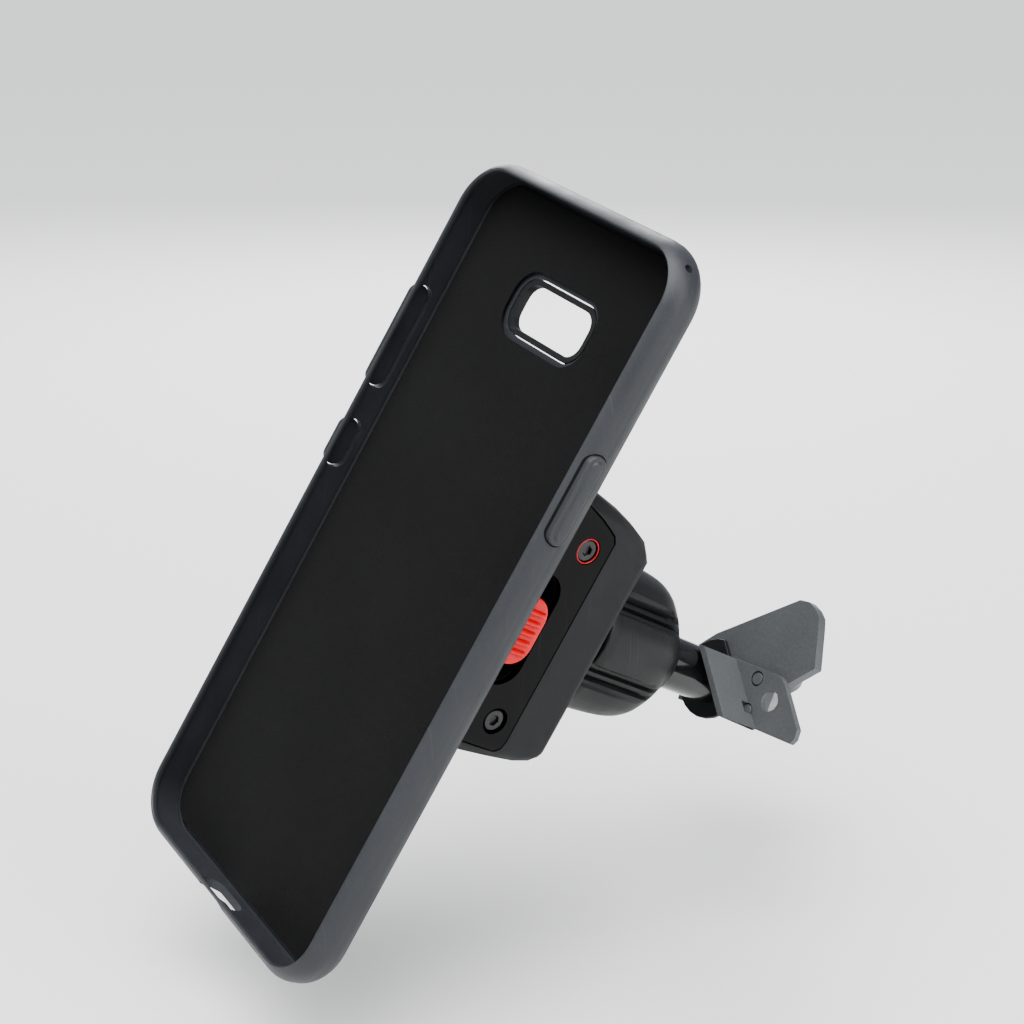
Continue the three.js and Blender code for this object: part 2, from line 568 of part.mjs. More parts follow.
const head = new THREE.Group();
head.rotation.z = THREE.MathUtils.degToRad(-ROLL);
stemAxes.add(head);
head.add(
  named('collet', collet(), SATIN),
  named('compression_ring', compressionRing(), SATIN),
  named('locking_collar', lockingCollar(), SATIN),
  named('neck_ring', neckRing(), SATIN),
  named('cradle_body', cradleBody(), SATIN),
  named('front_rail', frontRail(), SATIN),
  named('side_cover', sideCover(), CAP),
  named('side_panel', sidePanel(), GLOSS),
  named('panel_screw_lower', panelScrew(PANEL_SCREWS[0]), STEEL),
  named('panel_screw_upper', panelScrew(PANEL_SCREWS[1]), STEEL),
  named('seal_ring', sealRing(PANEL_SCREWS[1]), RED),
  named('release_slider', releaseSlider(), RED),
  named('slider_spring', sliderSpring(), STEEL),
  named('latch_tongue', latchTongue(), SATIN),
  named('latch_spring', latchSpring(), STEEL),
  named('case_bumper', caseBumper(), RUBBER),
  named('case_back', caseBack(), RUBBER),
  named('case_liner', caseLiner(), LINING),
  named('camera_bezel', cameraBezel(), CAP),
  named('power_key', key(POWER_KEY, 1), RUBBER),
  named('volume_key', key(VOLUME_KEY, -1), RUBBER),
  named('assist_key', key(ASSIST_KEY, -1), RUBBER),
  named('adapter_plate', adapterPlate(), SATIN),
);
[0, 1, 2, 3].forEach((i) => head.add(
  named(`collet_screw_${i + 1}`, colletScrew(...onCircle(i)), STEEL),
));
COVER_SCREWS.forEach(([x, y], i) => head.add(named(`rail_screw_${i + 1}`, coverScrew(x, y), STEEL)));
PLATE_SCREWS.forEach(([x, y], i) => head.add(named(`plate_screw_${i + 1}`, plateScrew(x, y), STEEL)));

export default mount;
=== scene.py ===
import math
import bmesh
import bpy
from mathutils import Matrix, Vector


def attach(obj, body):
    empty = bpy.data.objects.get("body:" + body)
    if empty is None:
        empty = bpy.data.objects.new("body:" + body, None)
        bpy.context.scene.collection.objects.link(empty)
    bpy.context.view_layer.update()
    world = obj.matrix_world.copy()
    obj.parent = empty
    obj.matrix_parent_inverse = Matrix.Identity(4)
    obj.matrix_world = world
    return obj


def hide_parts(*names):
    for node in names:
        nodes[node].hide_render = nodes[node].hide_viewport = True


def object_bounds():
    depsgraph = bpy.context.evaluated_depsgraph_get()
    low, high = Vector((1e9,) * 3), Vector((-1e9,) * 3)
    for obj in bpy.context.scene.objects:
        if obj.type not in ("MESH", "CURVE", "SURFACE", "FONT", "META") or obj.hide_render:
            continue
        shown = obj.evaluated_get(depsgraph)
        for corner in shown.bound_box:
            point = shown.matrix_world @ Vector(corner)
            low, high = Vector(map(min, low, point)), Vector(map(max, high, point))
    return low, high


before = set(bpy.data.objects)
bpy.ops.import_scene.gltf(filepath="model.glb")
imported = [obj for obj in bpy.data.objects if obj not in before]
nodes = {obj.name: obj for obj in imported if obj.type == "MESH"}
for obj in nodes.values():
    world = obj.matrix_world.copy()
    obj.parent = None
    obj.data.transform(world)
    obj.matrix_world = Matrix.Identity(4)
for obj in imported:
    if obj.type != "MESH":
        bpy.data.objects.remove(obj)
cad_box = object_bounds()

# ---- studio ----
# A pale floor under the hanging mount, even light from overhead, a large soft light above the
# front, a long one along the side panel, a small one behind, and the camera at the right-hand side.
floor_mesh = bmesh.new()
bmesh.ops.create_grid(floor_mesh, x_segments=2, y_segments=2, size=30)
floor = bpy.data.objects.new("floor", bpy.data.meshes.new("floor"))
floor_mesh.transform(Matrix.Translation((0, 0, cad_box[0][2] - 0.02)))
floor_mesh.to_mesh(floor.data)
bpy.context.collection.objects.link(floor)
paper = bpy.data.materials.new("pale_paper")
paper.use_nodes = True
paper.node_tree.nodes["Principled BSDF"].inputs["Base Color"].default_value = (0.72, 0.72, 0.71, 1)
paper.node_tree.nodes["Principled BSDF"].inputs["Roughness"].default_value = 0.9
floor.data.materials.append(paper)

world = bpy.data.worlds.new("studio_air")
bpy.context.scene.world = world
bpy.context.scene.view_settings.look = "AgX - Medium High Contrast"
world.use_nodes = True
world.node_tree.nodes["Background"].inputs["Color"].default_value = (0.86, 0.92, 1.0, 1)
world.node_tree.nodes["Background"].inputs["Strength"].default_value = 0.3


def softbox(name, size, watts, at, towards, tint=(1, 1, 1)):
    lamp = bpy.data.lights.new(name, "AREA")
    lamp.shape = "RECTANGLE"
    lamp.size, lamp.size_y = size
    lamp.energy = watts
    lamp.color = tint
    holder = bpy.data.objects.new(name, lamp)
    turn = (Vector(towards) - Vector(at)).to_track_quat("-Z", "Y").to_matrix().to_4x4()
    holder.matrix_world = Matrix.Translation(at) @ turn
    bpy.context.collection.objects.link(holder)


softbox("sky_panel", (0.9, 0.9), 8, (0.25, -0.45, 1.1), (0, -0.08, 0.05))
softbox("side_panel_light", (0.35, 0.9), 5, (0.9, 0.15, 0.5), (0, -0.08, 0.05))
softbox("rim_light", (0.5, 0.5), 7, (-0.7, 0.5, 0.6), (0, -0.08, 0.05))

shade = bpy.data.lights.new("open_shade", "SUN")
shade.energy = 3.6
shade.angle = math.radians(70)
overhead = bpy.data.objects.new("open_shade", shade)
overhead.matrix_world = Vector((-0.25, 0.35, -1)).to_track_quat("-Z", "Y").to_matrix().to_4x4()
bpy.context.collection.objects.link(overhead)

eye = bpy.data.cameras.new("camera")
eye.lens = 71.5
eye.sensor_width = 36
eye.clip_start = 0.01
camera = bpy.data.objects.new("camera", eye)
sight = Vector((-0.761, 0.587, -0.276)).to_track_quat("-Z", "Y").to_matrix().to_4x4()
camera.matrix_world = Matrix.Translation((0.3356, -0.3309, 0.1769)) @ sight
bpy.context.collection.objects.link(camera)
bpy.context.scene.camera = camera

# ---- bracket ----
# The bracket is one laser-cut steel plate, folded once: its base goes under the mirror's stem and
# its upright wing leans back to carry the ball stem. It is powder coated in satin dark grey, which
# leaves a fine orange peel and thins to bare steel along the cut edges.
to_metres = Matrix.Scale(0.001, 4)
stem_axes = (to_metres @ Matrix.Translation((8.8, -18.4, 6.7))
             @ Matrix.Rotation(math.radians(90 - 27.7), 4, "X"))
head_axes = stem_axes @ Matrix.Rotation(math.radians(-10.6), 4, "Z")


def new_group(name, inputs, outputs):
    tree = bpy.data.node_groups.new(name, "ShaderNodeTree")
    for label, kind, value in inputs:
        socket = tree.interface.new_socket(name=label, in_out="INPUT", socket_type=kind)
        if value is not None:
            socket.default_value = value
    for label, kind in outputs:
        tree.interface.new_socket(name=label, in_out="OUTPUT", socket_type=kind)
    return tree, tree.nodes.new("NodeGroupInput"), tree.nodes.new("NodeGroupOutput")


def put(tree, kind, values=(), **settings):
    node = tree.nodes.new(kind)
    for key, value in settings.items():
        setattr(node, key, value)
    for socket, value in dict(values).items():
        if hasattr(value, "is_output"):
            tree.links.new(value, node.inputs[socket])
        else:
            node.inputs[socket].default_value = value
    return node


# Moulded or coated skin: a fine even grain, slow changes of shade, patches of polish from
# handling, thin scratches in two directions, and pale dust that settles on what faces up.
skin, skin_in, skin_out = new_group("skin_grain", [
    ("Colour", "NodeSocketColor", (0.5, 0.5, 0.5, 1)),
    ("Mottle", "NodeSocketFloat", 0.15),
    ("Grain per metre", "NodeSocketFloat", 3000.0),
    ("Grain depth", "NodeSocketFloat", 0.00002),
    ("Roughness", "NodeSocketFloat", 0.5),
    ("Polish", "NodeSocketFloat", 0.1),
    ("Scratches", "NodeSocketFloat", 0.2),
    ("Dust", "NodeSocketFloat", 0.2),
], [("Colour", "NodeSocketColor"), ("Roughness", "NodeSocketFloat"), ("Normal", "NodeSocketVector")])
where = put(skin, "ShaderNodeTexCoord").outputs["Object"]
grain = put(skin, "ShaderNodeTexNoise", {
    "Vector": where, "Scale": skin_in.outputs["Grain per metre"], "Detail": 3.0, "Roughness": 0.55})
shade = put(skin, "ShaderNodeTexNoise", {"Vector": where, "Scale": 45.0, "Detail": 4.0})
patches = put(skin, "ShaderNodeTexNoise", {"Vector": where, "Scale": 90.0, "Detail": 5.0, "Distortion": 0.6})
lines = []
for tilt in (0.5, -1.1):
    stretched = put(skin, "ShaderNodeMapping", {
        "Vector": where, "Rotation": (tilt, 0.4 + tilt, 0.9), "Scale": (60.0, 2600.0, 60.0)})
    streak = put(skin, "ShaderNodeTexNoise", {"Vector": stretched.outputs[0], "Scale": 1.0, "Detail": 2.0})
    lines.append(put(skin, "ShaderNodeMapRange", {
        "Value": streak.outputs["Fac"], "From Min": 0.66, "From Max": 0.76}).outputs["Result"])
scratch = put(skin, "ShaderNodeMath", {0: lines[0], 1: lines[1]}, operation="MAXIMUM")
scratch = put(skin, "ShaderNodeMath", {
    0: scratch.outputs[0], 1: skin_in.outputs["Scratches"]}, operation="MULTIPLY")
tone = put(skin, "ShaderNodeMapRange", {
    "Value": shade.outputs["Fac"], "From Min": 0.3, "From Max": 0.7, "To Min": -0.5, "To Max": 0.5})
tone = put(skin, "ShaderNodeMath", {
    0: tone.outputs["Result"], 1: skin_in.outputs["Mottle"], 2: 1.0}, operation="MULTIPLY_ADD")
speckle = put(skin, "ShaderNodeMapRange", {
    "Value": grain.outputs["Fac"], "From Min": 0.3, "From Max": 0.7, "To Min": 0.88, "To Max": 1.12})
tone = put(skin, "ShaderNodeMath", {0: tone.outputs[0], 1: speckle.outputs["Result"]}, operation="MULTIPLY")
shaded = put(skin, "ShaderNodeVectorMath", {
    0: skin_in.outputs["Colour"], "Scale": tone.outputs[0]}, operation="SCALE")
facing = put(skin, "ShaderNodeSeparateXYZ", {0: put(skin, "ShaderNodeNewGeometry").outputs["Normal"]})
settle = put(skin, "ShaderNodeMapRange", {
    "Value": facing.outputs["Z"], "From Min": -0.2, "From Max": 1.0, "To Min": 0.15})
specks = put(skin, "ShaderNodeTexNoise", {"Vector": where, "Scale": 1500.0, "Detail": 6.0, "Roughness": 0.7})
specks = put(skin, "ShaderNodeMapRange", {
    "Value": specks.outputs["Fac"], "From Min": 0.56, "From Max": 0.74})
dust = put(skin, "ShaderNodeMath", {
    0: specks.outputs["Result"], 1: settle.outputs["Result"]}, operation="MULTIPLY")
dust = put(skin, "ShaderNodeMath", {0: dust.outputs[0], 1: skin_in.outputs["Dust"]}, operation="MULTIPLY")
pale = put(skin, "ShaderNodeMath", {
    0: scratch.outputs[0], 1: 0.25, 2: dust.outputs[0]}, operation="MULTIPLY_ADD", use_clamp=True)
dusty = put(skin, "ShaderNodeMix", {
    "Factor": pale.outputs[0], 6: shaded.outputs[0], 7: (0.32, 0.31, 0.29, 1)}, data_type="RGBA")
rough = put(skin, "ShaderNodeMapRange", {
    "Value": patches.outputs["Fac"], "From Min": 0.35, "From Max": 0.65, "To Min": -0.5, "To Max": 0.5})
rough = put(skin, "ShaderNodeMath", {
    0: rough.outputs["Result"], 1: skin_in.outputs["Polish"], 2: skin_in.outputs["Roughness"]},
    operation="MULTIPLY_ADD")
rough = put(skin, "ShaderNodeMath", {
    0: pale.outputs[0], 1: 0.5, 2: rough.outputs[0]}, operation="MULTIPLY_ADD", use_clamp=True)
relief = put(skin, "ShaderNodeBump", {
    "Strength": 1.0, "Distance": skin_in.outputs["Grain depth"], "Height": grain.outputs["Fac"]})
skin.links.new(dusty.outputs[2], skin_out.inputs["Colour"])
skin.links.new(rough.outputs[0], skin_out.inputs["Roughness"])
skin.links.new(relief.outputs["Normal"], skin_out.inputs["Normal"])

# Worn rim: breaks a coating up into bare patches. Only edges that are rounded over carry it.
rim, rim_in, rim_out = new_group("worn_rim", [
    ("Colour", "NodeSocketColor", (0.5, 0.5, 0.5, 1)),
    ("Bare colour", "NodeSocketColor", (0.5, 0.5, 0.5, 1)),
    ("Amount", "NodeSocketFloat", 0.5),
    ("Patch per metre", "NodeSocketFloat", 300.0),
], [("Colour", "NodeSocketColor"), ("Bare", "NodeSocketFloat")])
chips = put(rim, "ShaderNodeTexNoise", {
    "Vector": put(rim, "ShaderNodeTexCoord").outputs["Object"],
    "Scale": rim_in.outputs["Patch per metre"], "Detail": 8.0, "Roughness": 0.65})
chips = put(rim, "ShaderNodeMath", {0: chips.outputs["Fac"], 1: rim_in.outputs["Amount"]}, operation="ADD")
chips = put(rim, "ShaderNodeMapRange", {"Value": chips.outputs[0], "From Min": 0.92, "From Max": 1.06})
bared = put(rim, "ShaderNodeMix", {
    "Factor": chips.outputs["Result"], 6: rim_in.outputs["Colour"], 7: rim_in.outputs["Bare colour"]},
    data_type="RGBA")
rim.links.new(bared.outputs[2], rim_out.inputs["Colour"])
rim.links.new(chips.outputs["Result"], rim_out.inputs["Bare"])


def finish(name, colour, values, worn=None, metal=False, **shader):
    """A material on the skin group; worn gives (bare colour, amount, bare metal) for its rims."""
    material = bpy.data.materials.new(name)
    material.use_nodes = True
    tree = material.node_tree
    surface = tree.nodes["Principled BSDF"]
    coat = put(tree, "ShaderNodeGroup", node_tree=skin)
    coat.inputs["Colour"].default_value = (*colour, 1)
    for key, value in values.items():
        coat.inputs[key].default_value = value
    shown = coat.outputs["Colour"]
    if worn:
        edge = put(tree, "ShaderNodeGroup", node_tree=rim)
        edge.inputs["Bare colour"].default_value = (*worn[0], 1)
        edge.inputs["Amount"].default_value = worn[1]
        tree.links.new(shown, edge.inputs["Colour"])
        shown = edge.outputs["Colour"]
        if worn[2]:
            tree.links.new(edge.outputs["Bare"], surface.inputs["Metallic"])
    tree.links.new(shown, surface.inputs["Base Color"])
    tree.links.new(coat.outputs["Roughness"], surface.inputs["Roughness"])
    tree.links.new(coat.outputs["Normal"], surface.inputs["Normal"])
    if metal:
        surface.inputs["Metallic"].default_value = 1.0
    for key, value in shader.items():
        surface.inputs[key.replace("_", " ")].default_value = value
    return material


def piece_from(mesh, name, axes, materials, body, replaced, smooth=35):
    """Puts a drawn bmesh in its place as a finished piece that rides, replaces and carries its materials."""
    mesh.transform(axes)
    bmesh.ops.recalc_face_normals(mesh, faces=mesh.faces)
    for face in mesh.faces:
        face.smooth = True
    data = bpy.data.meshes.new(name)
    mesh.to_mesh(data)
    mesh.free()
    data.set_sharp_from_angle(angle=math.radians(smooth))
    for material in materials:
        data.materials.append(material)
    piece = bpy.data.objects.new(name, data)
    bpy.context.collection.objects.link(piece)
    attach(piece, body)
    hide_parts(*replaced)
    return piece


def softened(node, name, radius, materials, body, turns=3, limit=32):
    """A sheet or moulded part with its cut edges rounded over; the second material is on them."""
    mesh = bmesh.new()
    mesh.from_mesh(nodes[node].data)
    mesh.transform(nodes[node].matrix_world)
    bmesh.ops.remove_doubles(mesh, verts=mesh.verts, dist=1e-6)
    bmesh.ops.dissolve_limit(mesh, angle_limit=math.radians(1), verts=mesh.verts, edges=mesh.edges)
    piece = piece_from(mesh, name, Matrix(), materials, body, [node], smooth=180)
    edges = piece.modifiers.new("rounded edges", "BEVEL")
    edges.width = radius
    edges.segments = turns
    edges.limit_method = "ANGLE"
    edges.angle_limit = math.radians(limit)
    edges.material = 1 if len(materials) > 1 else -1
    edges.face_strength_mode = "FSTR_AFFECTED"
    edges.miter_outer = "MITER_ARC"
    flats = piece.modifiers.new("flat faces", "WEIGHTED_NORMAL")
    flats.use_face_influence = True
    return piece


powder = dict(colour=(0.088, 0.093, 0.096), values={
    "Grain per metre": 1900.0, "Grain depth": 0.00004, "Roughness": 0.36, "Polish": 0.14,
    "Mottle": 0.12, "Scratches": 0.1, "Dust": 0.08})
powder_coat = finish("powder_coat", **powder)
powder_rim = finish("powder_coat_rim", worn=((0.42, 0.42, 0.43), 0.3, True), **powder)
softened("bracket", "bracket_plate", 0.00035, [powder_coat, powder_rim], "bracket")

# ---- stop lug ----
# A second, thinner plate is riveted on the front of the wing, folded to stand beside the stem, with
# a plain round hole; its two rivets are ground flush and coated over.
softened("stop_lug", "stop_lug_plate", 0.0003, [powder_coat, powder_rim], "bracket")
for i in (1, 2):
    softened(f"lug_rivet_{i}", f"flush_rivet_{i}", 0.0002, [powder_coat], "bracket")

# ---- foot washer, bolt and lock washer ----
# The ball stem stands on a black nylon washer with one flat against the lug, and is held from
# behind by a zinc-plated socket screw over a split lock washer.
nylon = finish("black_nylon", (0.008, 0.0085, 0.009), {
    "Grain per metre": 2600.0, "Grain depth": 0.00002, "Roughness": 0.45, "Dust": 0.08},
    Specular_IOR_Level=0.35)
softened("foot_washer", "nylon_foot_washer", 0.00025, [nylon], "bracket")
zinc = finish("zinc_plate", (0.46, 0.47, 0.48), {
    "Grain per metre": 5200.0, "Grain depth": 0.000012, "Roughness": 0.3, "Polish": 0.2,
    "Mottle": 0.3, "Scratches": 0.5, "Dust": 0.15}, metal=True)
softened("stem_bolt", "stem_socket_screw", 0.0003, [zinc], "bracket")
softened("lock_washer", "split_lock_washer", 0.00015, [zinc], "bracket")

# ---- ball stem ----
# Stem, neck and ball are turned from one aluminium bar and anodised gloss black.
STEM_R = 6.2
STEM_SHOULDER = 22
NECK_R = 4.3
BALL_R = 8.5
BALL_AT = 35.5


def lathed(profile, around=96):
    """Spins [radius, height] points about Z; a point at radius 0 closes the end."""
    mesh = bmesh.new()
    rings = []
    for radius, height in profile:
        if radius < 1e-6:
            rings.append([mesh.verts.new((0, 0, height))])
        else:
            rings.append([mesh.verts.new((radius * math.cos(a), radius * math.sin(a), height))
                          for a in (2 * math.pi * i / around for i in range(around))])
    for low, high in zip(rings, rings[1:]):
        for i in range(around):
            j = (i + 1) % around
            corners = [low[i % len(low)], low[j % len(low)], high[j % len(high)], high[i % len(high)]]
            corners = list(dict.fromkeys(corners))
            if len(corners) > 2:
                mesh.faces.new(corners)
    return mesh


def arc(centre_r, centre_z, radius, start, end, steps=8):
    """Points on a fillet, from one angle to another, in degrees."""
    return [(centre_r + radius * math.cos(math.radians(a)), centre_z + radius * math.sin(math.radians(a)))
            for a in (start + (end - start) * i / steps for i in range(steps + 1))]


neck_angle = math.degrees(math.acos(math.sqrt(1 - (NECK_R / BALL_R) ** 2)))
stem_profile = [(0, 11.8), (2.2, 11.8), (3, 11), (3, 1.9), *arc(STEM_R - 0.6, 2.5, 0.6, -90, 0),
                *arc(STEM_R - 1.2, STEM_SHOULDER - 1.2, 1.2, 0, 80), (NECK_R + 0.9, STEM_SHOULDER + 0.02),
                (NECK_R + 0.3, STEM_SHOULDER + 0.25), (NECK_R, STEM_SHOULDER + 0.9), (NECK_R, BALL_AT - 7.6)]
stem_profile += [(r, z) for r, z in arc(0, BALL_AT, BALL_R, -90 + neck_angle, 90, 40)]
stem_profile[-1] = (0, BALL_AT + BALL_R)
gloss_stem = finish("black_anodised", (0.004, 0.004, 0.005), {
    "Grain per metre": 900.0, "Grain depth": 0.000008, "Roughness": 0.16, "Polish": 0.1,
    "Mottle": 0.2, "Scratches": 0.2, "Dust": 0.06}, Coat_Weight=0.6, Coat_Roughness=0.08)
piece_from(lathed(stem_profile), "turned_ball_stem", stem_axes, [gloss_stem], "stem",
           ["ball_stem"])

# ---- ball seat, collet and compression ring ----
# Inside the collar a nylon seat presses on the ball, and four glass-filled nylon fingers close
# round it when the collar draws the wedge ring up them.
fibre_nylon = finish("glass_filled_nylon", (0.009, 0.0095, 0.0105), {
    "Grain per metre": 2300.0, "Grain depth": 0.00003, "Roughness": 0.42, "Polish": 0.12, "Dust": 0.1},
    Specular_IOR_Level=0.42)
softened("ball_seat", "nylon_ball_seat", 0.0002, [nylon], "seat")
softened("collet", "collet_fingers", 0.0002, [fibre_nylon], "cradle")
softened("compression_ring", "wedge_ring", 0.0001, [fibre_nylon], "ring")

# ---- locking collar ----
# The hand nut that clamps the ball: a mouth round the stem opens into six broad finger lobes of
# glass-filled nylon. A shallow channel with a low rib on its floor runs between the lobes.
LOBES = 6
GROOVE_AT = 41
COLLAR_R = 18
SHELF_R, CHANNEL_R = 16.9, 15.7
COLLAR_START, COLLAR_END = 23.8, 54.7
COLLAR_SIDE = [(9.7, COLLAR_START), (10.3, 25.6), (11.1, 27.6), (12.4, 29), (14.4, 30.2), (16.1, 32),
               (17, 34.2), (17.6, 38), (COLLAR_R, 46), (COLLAR_R, 52), (17.5, COLLAR_END)]


def collar_radius(height):
    """The nut's side as one smooth curve through its measured sections."""
    last = len(COLLAR_SIDE) - 1
    k = max(i for i in range(last) if COLLAR_SIDE[i][1] <= height)
    (r0, z0), (r1, z1) = COLLAR_SIDE[k], COLLAR_SIDE[k + 1]
    before, after = COLLAR_SIDE[max(0, k - 1)], COLLAR_SIDE[min(last, k + 2)]
    span = z1 - z0
    leave = span * (r1 - before[0]) / (z1 - before[1])
    reach = span * (after[0] - r0) / (after[1] - z0)
    t = (height - z0) / span
    curve = ((2 * t ** 3 - 3 * t * t + 1) * r0 + (t ** 3 - 2 * t * t + t) * leave
             + (3 * t * t - 2 * t ** 3) * r1 + (t ** 3 - t * t) * reach)
    return min(COLLAR_R, curve)


def smooth_step(value, low, high):
    t = min(1, max(0, (value - low) / (high - low)))
    return t * t * (3 - 2 * t)


def lobe_sector():
    """One sixth of the nut: half a groove, a lobe and half a groove, from the mouth to the back rim."""
    mesh = bmesh.new()
    around = 76
    heights = [COLLAR_START + 0.5 + (COLLAR_END - 1.0 - COLLAR_START) * i / 60 for i in range(61)]
    outside = [(collar_radius(z), z) for z in heights]
    last = outside[-1][0]
    back = [(last - 0.12, COLLAR_END - 0.3), (last - 0.4, COLLAR_END - 0.06), (last - 0.7, COLLAR_END)]
    inside = [(14.2, COLLAR_END), (14.2, 51.7), (12.4, 51.7), (12.4, 34), (8.4, 32),
              (9.0, COLLAR_START + 0.7), (9.25, COLLAR_START + 0.15), (9.5, COLLAR_START)]
    rows = []
    for k, (radius, height) in enumerate([*outside, *back, *inside, outside[0]]):
        row = []
        for i in range(around + 1):
            angle = (i / around - 0.5) * 2 * math.pi / LOBES
            across = radius * math.sin(math.pi / LOBES - abs(angle))
            r = radius
            if k < len(outside) + len(back):
                step = 1 - smooth_step(across, 2.5, 3.3)
                floor_rib = 1 - smooth_step(across, 0.5, 0.95)
                line = 1 - smooth_step(across, 1.55, 1.95)
                crown = 0.3 * (1 - smooth_step(across, 3.0, 7.0))
                shelf = max(0, radius - SHELF_R) * step
                channel = max(0, min(radius, SHELF_R) - CHANNEL_R) * line * (1 - 0.75 * floor_rib)
                r -= shelf + channel + crown * smooth_step(radius, 14.5, 17)
            row.append(mesh.verts.new((r * math.cos(angle), r * math.sin(angle), height)))
        rows.append(row)
    for low, high in zip(rows, rows[1:]):
        for i in range(around):
            mesh.faces.new((low[i], low[i + 1], high[i + 1], high[i]))
    data = bpy.data.meshes.new("lobe")
    bmesh.ops.recalc_face_normals(mesh, faces=mesh.faces)
    mesh.to_mesh(data)
    mesh.free()
    return bpy.data.objects.new("lobe", data)


def repeat_tree(name):
    """Copies of one object set on a mesh's points, each turned by a step, then made one mesh."""
    tree = bpy.data.node_groups.new(name, "GeometryNodeTree")
    ports = {}
    for label, kind, way in (("Places", "Geometry", "INPUT"), ("Copied", "Object", "INPUT"),
                             ("Turn each", "Float", "INPUT"), ("First turn", "Float", "INPUT"),
                             ("Finish", "Material", "INPUT"), ("Pieces", "Geometry", "OUTPUT")):
        socket = tree.interface.new_socket(name=label, in_out=way, socket_type="NodeSocket" + kind)
        ports[label] = socket.identifier
    start, end = tree.nodes.new("NodeGroupInput"), tree.nodes.new("NodeGroupOutput")
    source = put(tree, "GeometryNodeObjectInfo", {"Object": start.outputs["Copied"]})
    spots = put(tree, "GeometryNodeMeshToPoints", {"Mesh": start.outputs["Places"]})
    turn = put(tree, "ShaderNodeMath", {
        0: put(tree, "GeometryNodeInputIndex").outputs[0], 1: start.outputs["Turn each"],
        2: start.outputs["First turn"]}, operation="MULTIPLY_ADD")
    spin = put(tree, "ShaderNodeCombineXYZ", {"Z": turn.outputs[0]})
    placed = put(tree, "GeometryNodeInstanceOnPoints", {
        "Points": spots.outputs[0], "Instance": source.outputs["Geometry"], "Rotation": spin.outputs[0]})
    solid = put(tree, "GeometryNodeRealizeInstances", {0: placed.outputs[0]})
    welded = put(tree, "GeometryNodeMergeByDistance", {"Geometry": solid.outputs[0], "Distance": 0.002})
    coated = put(tree, "GeometryNodeSetMaterial", {
        "Geometry": welded.outputs[0], "Material": start.outputs["Finish"]})
    tree.links.new(coated.outputs[0], end.inputs[0])
    return tree, ports


repeated, repeat_ports = repeat_tree("set_on_places")


def repeat(copied, places, material, step=0.0, first=0.0):
    """The repeated pieces as one bmesh, still in their own millimetres."""
    spots = bpy.data.meshes.new("places")
    spots.from_pydata(places, [], [])
    host = bpy.data.objects.new("places", spots)
    bpy.context.collection.objects.link(host)
    setter = host.modifiers.new("set on places", "NODES")
    setter.node_group = repeated
    for label, value in (("Copied", copied), ("Turn each", step), ("First turn", first),
                         ("Finish", material)):
        setter[repeat_ports[label]] = value
    bpy.context.view_layer.update()
    graph = bpy.context.evaluated_depsgraph_get()
    made = bpy.data.meshes.new_from_object(host.evaluated_get(graph))
    mesh = bmesh.new()
    mesh.from_mesh(made)
    host.modifiers.remove(setter)
    bpy.data.objects.remove(host)
    bpy.data.objects.remove(copied)
    return mesh


collar_mesh = repeat(lobe_sector(), [(0, 0, 0)] * LOBES, fibre_nylon, step=2 * math.pi / LOBES,
                     first=math.radians(GROOVE_AT + 180 / LOBES))
piece_from(collar_mesh, "lobed_hand_nut", head_axes, [fibre_nylon], "collar",
           ["locking_collar"])

# ---- neck ring ----
# A plain moulded ring fills the neck between the hand nut and the cradle.
ring_profile = [(12.3, 56.5), *arc(15.0, 57.0, 0.8, -90, -20), (16.2, 58.2), (16.4, 60), (16.4, 63.0),
                *arc(16.1, 63.1, 0.3, 0, 90, 4), (12.3, 63.4), (12.3, 56.5)]
piece_from(lathed(ring_profile), "neck_ring_moulding", head_axes, [fibre_nylon], "cradle",
           ["neck_ring"])

# ---- cradle ----
# The cradle is a moulded body with a thicker back wall, a slotted front rail screwed on it, and a
# matt black side cover that carries the release. The mouldings keep a spark-eroded grain.
eroded = dict(colour=(0.009, 0.0095, 0.0105), values={
    "Grain per metre": 3400.0, "Grain depth": 0.00003, "Roughness": 0.5, "Polish": 0.14,
    "Mottle": 0.2, "Scratches": 0.15, "Dust": 0.08})
cradle_skin = finish("eroded_nylon", Specular_IOR_Level=0.3, **eroded)
cradle_rim = finish("eroded_nylon_rim", worn=((0.03, 0.03, 0.032), 0.3, False),
                    Specular_IOR_Level=0.3, **eroded)
softened("cradle_body", "cradle_moulding", 0.0011, [cradle_skin, cradle_rim], "cradle",
         turns=4)
softened("front_rail", "slotted_rail", 0.0005, [cradle_skin, cradle_rim], "cradle")
matt_cap = dict(colour=(0.015, 0.0155, 0.017), values={
    "Grain per metre": 4200.0, "Grain depth": 0.000025, "Roughness": 0.56, "Polish": 0.1,
    "Mottle": 0.12, "Scratches": 0.12, "Dust": 0.12})
cap_skin = finish("matt_cap", Specular_IOR_Level=0.3, **matt_cap)
cap_rim = finish("matt_cap_rim", worn=((0.045, 0.045, 0.047), 0.25, False),
                 Specular_IOR_Level=0.3, **matt_cap)
softened("side_cover", "side_cover_moulding", 0.0008, [cap_skin, cap_rim], "cradle", turns=4)

# ---- side panel ----
# A separate polished black moulding, let into the side cover, with a slot for the release slider
# and two screw wells. It shows fine wiping marks and a few specks of dust.
piano_black = finish("piano_black", (0.002, 0.002, 0.0024), {
    "Grain per metre": 300.0, "Grain depth": 0.000006, "Roughness": 0.07, "Polish": 0.05,
    "Mottle": 0.1, "Scratches": 0.1, "Dust": 0.03}, Specular_IOR_Level=0.18)
softened("side_panel", "polished_side_panel", 0.0005, [piano_black], "cradle", turns=4)

# ---- screws ----
# All fixings are small plated socket screws: a chamfered head with a hexagon recess and a plain
# shank. One shape serves the cradle's collet, rail, panel and adapter plate at their own sizes.


